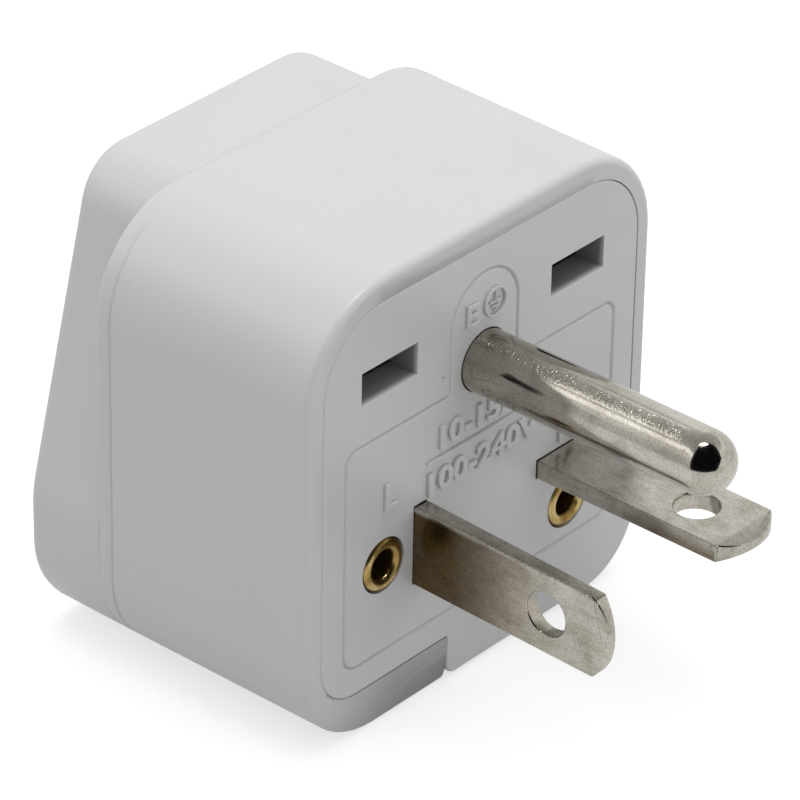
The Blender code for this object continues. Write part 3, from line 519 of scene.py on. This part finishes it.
LINE_SIDES = (-15.2, -8.85)
NEUTRAL_FACES = (-12.68, -11.24)
NEUTRAL_SIDES = (6.225, 12.575)
EARTH_HOLE_RADIUS = 2.45
EYELETS = {"line_eyelet": (-10.3, -12.1), "neutral_eyelet": (9.8, -16.25)}
EYELET_HOLE_RADIUS = 1.65
EYELET_POCKET_RADIUS = 2.17
EYELET_POCKET_DEPTH = 0.6
POLE_GAP = 0.0005


def outline(corners):
    """Points of a closed outline through square (x, z, radius) corners, each rounded to its radius."""
    shape = bmesh.new()
    tips = [shape.verts.new((x, z, 0.0)) for x, z, radius in corners]
    shape.faces.new(tips)
    for tip, (x, z, radius) in zip(tips, corners):
        bmesh.ops.bevel(
            shape, geom=[tip], offset=radius, segments=CORNER_STEPS, profile=0.5, affect="VERTICES",
            material=-1,
        )
    points = [vertex.co.xy for face in shape.faces for vertex in face.verts]
    shape.free()
    return points


def beside(points, distance):
    """A closed outline moved sideways, outward where the distance is positive."""
    moved = []
    for index, point in enumerate(points):
        ahead = (points[(index + 1) % len(points)] - point).normalized()
        behind = (point - points[index - 1]).normalized()
        along = (ahead + behind).normalized()
        moved.append(point + Vector((along.y, -along.x)) * distance / max(along.dot(ahead), 0.5))
    return moved


def loft(sections, ring=False):
    """A closed shape bridged through (y, points) sections. A ring's last section joins its first again."""
    shape = bmesh.new()
    loops = []
    for y, points in sections:
        row = [shape.verts.new(spot(x, y, z)) for x, z in points]
        loops.append([shape.edges.new(pair) for pair in zip(row, row[1:] + row[:1])])
    for near, far in zip(loops, loops[1:]):
        bmesh.ops.bridge_loops(shape, edges=near + far)
    if ring:
        bmesh.ops.bridge_loops(shape, edges=loops[-1] + loops[0])
    else:
        bmesh.ops.contextual_create(shape, geom=loops[0])
        bmesh.ops.contextual_create(shape, geom=loops[-1])
    bmesh.ops.recalc_face_normals(shape, faces=shape.faces)
    return shape


def turned(profile, x=0.0, z=0.0, steps=96):
    """A shape spun about the Y direction through (x, z), from (radius, y) points."""
    shape = bmesh.new()
    points = [shape.verts.new(spot(x + radius, y, z)) for radius, y in profile]
    edges = [shape.edges.new(pair) for pair in zip(points, points[1:])]
    if profile[0][0] > 0:
        edges.append(shape.edges.new((points[-1], points[0])))
    bmesh.ops.spin(
        shape, geom=points + edges, cent=spot(x, 0.0, z), axis=(0.0, 1.0, 0.0), angle=2 * math.pi,
        steps=steps, use_merge=True,
    )
    bmesh.ops.remove_doubles(shape, verts=shape.verts, dist=POLE_GAP * MM)
    bmesh.ops.recalc_face_normals(shape, faces=shape.faces)
    return shape


def add_box(shape, *reaches):
    """Add a box that reaches from one place to another along X, Y and Z, and return its corners."""
    middle = spot(*((low + high) / 2 for low, high in reaches))
    size = Matrix.Diagonal([(high - low) * MM for low, high in reaches]).to_4x4()
    return bmesh.ops.create_cube(shape, size=1.0, matrix=Matrix.Translation(middle) @ size)["verts"]


def straight_hole(x_reach, z_reach, gap=0.0):
    """A cutter for a hole with four straight sides through the plate, wider all round by a gap."""
    shape = bmesh.new()
    add_box(shape, (x_reach[0] - gap, x_reach[1] + gap), THROUGH, (z_reach[0] - gap, z_reach[1] + gap))
    return shape


def round_hole(radius, x=0.0, z=0.0, depth=THROUGH[1]):
    """A cutter for a round hole from the front to a depth."""
    return turned([(0.0, THROUGH[0]), (radius, THROUGH[0]), (radius, depth), (0.0, depth)], x, z)


def carved(shape, cutters):
    """A shape with the cutters' shapes taken out of it."""
    meshes = []
    for part in [shape] + cutters:
        mesh = bpy.data.meshes.new("carving")
        part.to_mesh(mesh)
        part.free()
        meshes.append(mesh)
    holders = [bpy.data.objects.new("carving", mesh) for mesh in meshes]
    for holder in holders:
        bpy.context.scene.collection.objects.link(holder)
    for cutter in holders[1:]:
        modifier = holders[0].modifiers.new("cut", "BOOLEAN")
        modifier.solver = "EXACT"
        modifier.object = cutter
    result = bmesh.new()
    result.from_object(holders[0], bpy.context.evaluated_depsgraph_get())
    for holder in holders:
        bpy.data.objects.remove(holder, do_unlink=True)
    bmesh.ops.dissolve_limit(
        result, angle_limit=FLAT_ANGLE, use_dissolve_boundaries=False, verts=result.verts, edges=result.edges,
    )
    return result


plate_outline = outline(PLATE_CORNERS)
plate_rows = [(y, beside(plate_outline, -inset)) for y, inset in PLATE_EDGE]
plate_body = loft(plate_rows + [(PLATE_BACK, plate_outline)])
groove_line = outline(GROOVE_CORNERS)
groove_slope = GROOVE_HALF_WIDTH * (1 + GROOVE_CLEAR / GROOVE_DEPTH)
groove = loft([
    (-GROOVE_CLEAR, beside(groove_line, groove_slope)),
    (GROOVE_DEPTH, groove_line),
    (-GROOVE_CLEAR, beside(groove_line, -groove_slope)),
], ring=True)
plate_cuts = [groove] + [straight_hole(x_reach, z_reach) for x_reach, z_reach in WINDOWS]
plate_cuts.append(straight_hole(LINE_FACES, LINE_SIDES, SLOT_GAP))
plate_cuts.append(straight_hole(NEUTRAL_SIDES, NEUTRAL_FACES, SLOT_GAP))
plate_cuts.append(round_hole(EARTH_HOLE_RADIUS))
for x, z in EYELETS.values():
    plate_cuts.append(round_hole(EYELET_HOLE_RADIUS, x, z))
    plate_cuts.append(round_hole(EYELET_POCKET_RADIUS, x, z, EYELET_POCKET_DEPTH))
fine_white = moulded_plastic("grained_white_plastic", PLATE_GRAIN, PLATE_ROUGHNESS, PLATE_DEPTH_SHADE)
set_piece("front_plate", carved(plate_body, plate_cuts), "white_plastic", fine_white, "pin_plate")

# Raised marks. Letters for line, neutral and earth, the sign for protective earth, and plain ratings
# over and under a rule, all moulded with the plate and standing 0.25 mm proud of it.
MARK_HEIGHT = 0.25
MARK_ROOT = 0.05
MARK_SLOPE = 0.07
# Painted shade: the marks turn dark grey towards their foot on the plate.
MARK_FOOT_SHADE = [("Y", -0.2, 0.1)]
CAPITAL_SHARE = 0.7
LETTER_EDGE = 0.03
LETTER_JOIN = 0.001
STROKE_MORE = 0.05
FINE_STROKE_MORE = -0.03
RULE = [((-6.0, 5.2), (-5.95, -5.7))]
SIGN_BARS = [
    ((0.8, 0.98), (4.5, 5.15)),
    ((0.25, 1.5), (4.35, 4.53)),
    ((0.45, 1.3), (3.98, 4.14)),
    ((0.65, 1.1), (3.62, 3.78)),
]
SIGN_RING = [(0.96, MARK_ROOT), (1.2, MARK_ROOT), (1.14, -MARK_HEIGHT), (1.02, -MARK_HEIGHT)]
SIGN_MIDDLE = (0.89, 4.38)


def take_in(shape, other):
    """Add another shape to a shape."""
    mesh = bpy.data.meshes.new("taken_in")
    other.to_mesh(mesh)
    other.free()
    shape.from_mesh(mesh)
    bpy.data.meshes.remove(mesh)


def raised_bar(shape, x_reach, z_reach):
    """Add a straight raised line whose sides slope in towards the front."""
    corners = add_box(shape, x_reach, (-MARK_HEIGHT, MARK_ROOT), z_reach)
    middle = spot(sum(x_reach) / 2, 0.0, sum(z_reach) / 2)
    narrower, lower = (1 - 2 * MARK_SLOPE / (high - low) for low, high in (x_reach, z_reach))
    bmesh.ops.scale(
        shape, vec=(narrower, 1.0, lower), space=Matrix.Translation(-middle),
        verts=[corner for corner in corners if corner.co.y < FRONT.y],
    )


def raised_text(shape, words, height, left, low, width, stroke_more=STROKE_MORE):
    """Add raised lettering of a cap height, between a left edge and a width, on a base line."""
    curve = bpy.data.curves.new("lettering", "FONT")
    curve.body = words
    curve.size = height / CAPITAL_SHARE
    curve.extrude = (MARK_HEIGHT + MARK_ROOT) / 2
    curve.bevel_depth = LETTER_EDGE
    curve.offset = stroke_more
    curve.resolution_u = 4
    holder = bpy.data.objects.new("lettering", curve)
    bpy.context.scene.collection.objects.link(holder)
    bpy.context.view_layer.update()
    mesh = bpy.data.meshes.new_from_object(holder.evaluated_get(bpy.context.evaluated_depsgraph_get()))
    letters = bmesh.new()
    letters.from_mesh(mesh)
    bpy.data.objects.remove(holder, do_unlink=True)
    bpy.data.meshes.remove(mesh)
    reach = [min(v.co.x for v in letters.verts), max(v.co.x for v in letters.verts)]
    tall = [min(v.co.y for v in letters.verts), max(v.co.y for v in letters.verts)]
    middle = (MARK_ROOT - MARK_HEIGHT) / 2
    for vertex in letters.verts:
        x = left + (vertex.co.x - reach[0]) / (reach[1] - reach[0]) * width
        z = low + (vertex.co.y - tall[0]) / (tall[1] - tall[0]) * height
        vertex.co = spot(x, middle - vertex.co.z, z)
    bmesh.ops.remove_doubles(letters, verts=letters.verts, dist=LETTER_JOIN * MM)
    bmesh.ops.recalc_face_normals(letters, faces=letters.faces)
    take_in(shape, letters)


marks = bmesh.new()
raised_text(marks, "L", height=2.2, left=-10.4, low=-7.65, width=1.3)
raised_text(marks, "N", height=2.0, left=8.4, low=-10.6, width=1.7)
raised_text(marks, "E", height=1.7, left=-2.1, low=3.45, width=1.15, stroke_more=FINE_STROKE_MORE)
raised_text(marks, "10-15A", height=1.9, left=-4.7, low=-5.2, width=8.6)
raised_text(marks, "100-240V", height=1.9, left=-5.85, low=-8.6, width=11.8)
for x_reach, z_reach in RULE + SIGN_BARS:
    raised_bar(marks, x_reach, z_reach)
take_in(marks, turned(SIGN_RING, *SIGN_MIDDLE, steps=48))
bmesh.ops.recalc_face_normals(marks, faces=marks.faces)
marked_white = moulded_plastic("marked_white_plastic", PLATE_GRAIN, PLATE_ROUGHNESS, MARK_FOOT_SHADE)
set_piece("raised_marks", marks, "white_plastic", marked_white)

# Blades. Two flat blades of nickel-plated brass, thinned and rounded at the tip and pierced near it,
# with their feet riveted behind the plate. The plating is sandy, with painted shade in brown for dark
# reflections near the plate and on the flat blade's edge, and the upright blade is bent down a little.
NICKEL_DARK = (0.45, 0.42, 0.365, 1.0)
NICKEL = (0.56, 0.535, 0.475, 1.0)
NICKEL_LIGHT = (0.64, 0.61, 0.55, 1.0)
SAND_DARK = (0.72, 0.7, 0.66, 1.0)
STREAK_DARK = (0.84, 0.83, 0.81, 1.0)
# Painted shade: a brown that darkens the nickel where it stands for dark reflections.
REFLECTION_SHADE_BROWN = (0.26, 0.185, 0.095, 1.0)
PIT = (0.08, 0.07, 0.055, 1.0)
TONE_SCALE = 420.0
SAND_SCALE = 7500.0
SAND_HEIGHT = 0.0022
PIT_SPACING = 0.9
PIT_SIZE = 0.07
ROUGH_SCALE = 4200.0
ROUGH_HEIGHT = 0.09
BLADE_STREAKS = (2600.0, 700.0, 2600.0)
BLADE_EDGE = 0.13
BLADE_FOLD = 2.4
LINE_BEND = 0.022
LINE_CAD_FACES = (-7.16, -5.64)
# Painted shade: the upright blade darkens to brown towards the plate, below a thin strip along its top edge.
LINE_REFLECTION_SHADE = [("Y", -13.5, -3.0), ("Z", -9.05, -9.35)]
LINE_ROUGH = [("X", -7.088, -7.06), ("X", -6.9, -6.97), ("Z", -9.6, -9.4)]
NEUTRAL_CAD_FACES = (-12.76, -11.24)
# Painted shade: the flat blade's left edge darkens to brown towards its tip and its lower side, standing for
# a dark reflection.
NEUTRAL_REFLECTION_SHADE = [("X", 6.26, 6.232), ("Y", -6.0, -11.0), ("Z", -11.45, -12.3)]
NEUTRAL_ROUGH = [("X", 6.228, 6.25), ("X", 6.42, 6.35), ("Z", -11.43, -11.37), ("Z", -11.242, -11.265)]


def stretched(nodes, links, place, scale):
    node = nodes.new("ShaderNodeMapping")
    node.inputs["Scale"].default_value = scale
    links.new(place, node.inputs["Vector"])
    return node.outputs["Vector"]


def darkened(nodes, links, colour, factor):
    """A colour times a second one."""
    blend = nodes.new("ShaderNodeMix")
    blend.data_type = "RGBA"
    blend.blend_type = "MULTIPLY"
    blend.inputs["Factor"].default_value = 1.0
    links.new(colour, blend.inputs["A"])
    links.new(factor, blend.inputs["B"])
    return blend.outputs["Result"]


def shaded_nickel(name, roughness, streaks, streak_height, pits, reflection_shade, reflection_shade_spans, rough_spans):
    """Nickel plating: sandy tones, marks along the piece, dark pits, one area of painted shade in brown and
    one rough area.
    """
    material, nodes, links, shader, place = new_material(name)
    patch = grain(nodes, links, place, TONE_SCALE, 3.0)
    tone = ramp(nodes, links, patch, [(0.32, NICKEL_DARK), (0.5, NICKEL), (0.7, NICKEL_LIGHT)])
    sand = grain(nodes, links, place, SAND_SCALE)
    tone = darkened(nodes, links, tone, ramp(nodes, links, sand, [(0.3, SAND_DARK), (0.52, WHITE)]))
    drawn = grain(nodes, links, stretched(nodes, links, place, streaks), 1.0, 4.0)
    tone = darkened(nodes, links, tone, ramp(nodes, links, drawn, [(0.3, STREAK_DARK), (0.55, WHITE)]))
    # Painted shade: within the spans the plating darkens towards brown, by the given share.
    reflection_shade_mask = between(nodes, links, within(nodes, links, place, reflection_shade_spans), 0.0, reflection_shade)
    uneven = between(nodes, links, patch, 0.88, 1.08, 0.3, 0.7)
    reflection_shade_tint = mixed(nodes, links, reckoned(nodes, links, "MULTIPLY", reflection_shade_mask, uneven), WHITE, REFLECTION_SHADE_BROWN)
    tone = darkened(nodes, links, tone, reflection_shade_tint)
    spots = specks(nodes, links, place, PIT_SPACING, PIT_SIZE, pits)
    links.new(mixed(nodes, links, spots, tone, PIT), shader.inputs["Base Color"])
    shader.inputs["Metallic"].default_value = 1.0
    satin = between(nodes, links, sand, roughness + 0.06, roughness - 0.03, 0.3, 0.7)
    links.new(satin, shader.inputs["Roughness"])
    bumped(nodes, links, shader, drawn, streak_height)
    bumped(nodes, links, shader, sand, SAND_HEIGHT)
    rough = grain(nodes, links, place, ROUGH_SCALE)
    rough = reckoned(nodes, links, "MULTIPLY", within(nodes, links, place, rough_spans), rough)
    bumped(nodes, links, shader, rough, ROUGH_HEIGHT)
    return material


def worn_blade(node, axis, cad_faces, faces, bend):
    """A CAD blade with its flat faces moved in a little in front of its fold, and bent down by a share."""
    shape = merged_copy(node)
    for vertex in shape.verts:
        ahead = FRONT.y + BLADE_FOLD * MM - vertex.co.y
        if ahead > 0.0:
            level = (vertex.co[axis] - FRONT[axis]) / MM
            share = (level - cad_faces[0]) / (cad_faces[1] - cad_faces[0])
            vertex.co[axis] = FRONT[axis] + (faces[0] + share * (faces[1] - faces[0])) * MM
            vertex.co.z -= ahead * bend
    return shape


line_nickel = shaded_nickel(
    "shaded_nickel", roughness=0.24, streaks=BLADE_STREAKS, streak_height=0.002, pits=0.1, reflection_shade=1.0,
    reflection_shade_spans=LINE_REFLECTION_SHADE, rough_spans=LINE_ROUGH,
)
neutral_nickel = shaded_nickel(
    "rolled_nickel", roughness=0.22, streaks=BLADE_STREAKS, streak_height=0.002, pits=0.1, reflection_shade=0.7,
    reflection_shade_spans=NEUTRAL_REFLECTION_SHADE, rough_spans=NEUTRAL_ROUGH,
)
line_shape = worn_blade("line_blade", 0, LINE_CAD_FACES, LINE_FACES, LINE_BEND)
set_piece("line_pin_blade", line_shape, "nickel", line_nickel, "line_blade", edge=BLADE_EDGE)
neutral_shape = worn_blade("neutral_blade", 2, NEUTRAL_CAD_FACES, NEUTRAL_FACES, 0.0)
set_piece("neutral_pin_blade", neutral_shape, "nickel", neutral_nickel, "neutral_blade", edge=BLADE_EDGE)

# Earth pin. A solid turned pin with a domed end, nickel-plated like the blades, held by a flange
# behind the plate and a headed tail. Drawing the rod and use left long scratches, dents and pits.
PIN_RADIUS = 2.38
PIN_END = -21.8
FLANGE_RADIUS = 3.5
FLANGE = (2.8, 3.7)
TAIL_RADIUS = 1.4
HEAD_FRONT = 5.52
TAIL_HEAD = [(2.3, HEAD_FRONT), (1.9, 6.12), (0.0, 6.12)]
PIN_STREAKS = (1500.0, 60.0, 1500.0)
# Painted shade: the pin darkens a little towards the plate, standing for a dark reflection there.
PIN_REFLECTION_SHADE = [("Y", -13.5, -3.0)]
PIN_ROUGH = [("X", -1.5, -1.2), ("X", -0.35, -0.6), ("Z", 1.7, 1.95), ("Y", -19.0, -18.0)]


def arc(middle, radius, start, end, steps):
    """Points on an arc about a (radius, y) middle, by degrees from straight ahead round to the outside."""
    points = []
    for step in range(steps + 1):
        angle = math.radians(start + (end - start) * step / steps)
        points.append((middle[0] + radius * math.sin(angle), middle[1] - radius * math.cos(angle)))
    return points


drawn_nickel = shaded_nickel(
    "drawn_nickel", roughness=0.1, streaks=PIN_STREAKS, streak_height=0.006, pits=0.16, reflection_shade=0.3,
    reflection_shade_spans=PIN_REFLECTION_SHADE, rough_spans=PIN_ROUGH,
)
dome = arc((0.0, PIN_END + PIN_RADIUS), PIN_RADIUS, 0, 90, 20)
flange = [
    (PIN_RADIUS, FLANGE[0]), (FLANGE_RADIUS, FLANGE[0]), (FLANGE_RADIUS, FLANGE[1]), (TAIL_RADIUS, FLANGE[1]),
]
pin_profile = dome + flange + [(TAIL_RADIUS, HEAD_FRONT)] + TAIL_HEAD
set_piece("round_earth_pin", turned(pin_profile), "nickel", drawn_nickel, "earth_pin")

# Hollow rivets. Brass eyelets, rolled over in front in a round rim, that clamp the blades' feet and
# the socket's contacts to the plate. Their bores stay open and look dark.
BRASS_DARK = (0.22, 0.13, 0.03, 1.0)
BRASS = (0.47, 0.34, 0.12, 1.0)
BRASS_PALE = (0.64, 0.51, 0.24, 1.0)
TARNISH_SCALE = 700.0
BRASS_MARK_SCALE = 4200.0
METAL_MARK_HEIGHT = 0.003
RIM_MIDDLE = (1.6, 0.3)
RIM_RADIUS = 0.45
SHANK_RADIUS = 1.45
ROLLED_BACK = [(1.95, HEAD_FRONT), (1.95, 5.82), (1.55, 6.12), (1.15, 5.92)]


def golden_brass(name, roughness):
    """Bare brass with darker tarnish in patches and fine marks."""
    material, nodes, links, shader, place = new_material(name)
    tarnish = grain(nodes, links, place, TARNISH_SCALE, 4.0)
    tone = ramp(nodes, links, tarnish, [(0.32, BRASS_DARK), (0.5, BRASS), (0.7, BRASS_PALE)])
    links.new(tone, shader.inputs["Base Color"])
    shader.inputs["Metallic"].default_value = 1.0
    satin = between(nodes, links, tarnish, roughness + 0.1, roughness - 0.05, 0.3, 0.7)
    links.new(satin, shader.inputs["Roughness"])
    bumped(nodes, links, shader, grain(nodes, links, place, BRASS_MARK_SCALE, 3.0), METAL_MARK_HEIGHT)
    return material


rivet_brass = golden_brass("rivet_brass", 0.3)
rim = arc(RIM_MIDDLE, RIM_RADIUS, -90, 90, 16)
shank = [(SHANK_RADIUS, RIM_MIDDLE[1]), (SHANK_RADIUS, HEAD_FRONT)]
for node, (x, z) in EYELETS.items():
    eyelet = turned(rim + shank + ROLLED_BACK, x, z, steps=64)
    set_piece(f"{node}_rolled", eyelet, "brass", rivet_brass, node)

# Contacts. Sheet brass strips, folded and pinched to take every kind of pin, with small riveted
# clips for flat pins, steel clamps that back them up and a steel washer on the earth pin's tail.
STEEL_DARK = (0.30, 0.30, 0.31, 1.0)
STEEL = (0.46, 0.46, 0.47, 1.0)
STEEL_SCALE = 500.0
STEEL_MARK_SCALE = 3800.0


def sprung_steel(name):
    """Spring steel, cloudy from its tempering, with fine marks."""
    material, nodes, links, shader, place = new_material(name)
    patch = grain(nodes, links, place, STEEL_SCALE, 3.0)
    links.new(ramp(nodes, links, patch, [(0.35, STEEL_DARK), (0.65, STEEL)]), shader.inputs["Base Color"])
    shader.inputs["Metallic"].default_value = 1.0
    links.new(between(nodes, links, patch, 0.42, 0.32), shader.inputs["Roughness"])
    bumped(nodes, links, shader, grain(nodes, links, place, STEEL_MARK_SCALE, 3.0), METAL_MARK_HEIGHT)
    return material


sheet_brass = golden_brass("sheet_brass", 0.3)
clamp_steel = sprung_steel("clamp_steel")
for node in (
    "line_contact", "neutral_contact", "earth_contact", "line_flat_clip", "neutral_flat_clip",
    "line_clip_rivet", "neutral_clip_rivet",
):
    set_piece(f"{node}_brass", merged_copy(node), "brass", sheet_brass, node)
for node in ("line_spring", "neutral_spring", "earth_washer"):
    set_piece(f"{node}_steel", merged_copy(node), "spring_steel", clamp_steel, node)
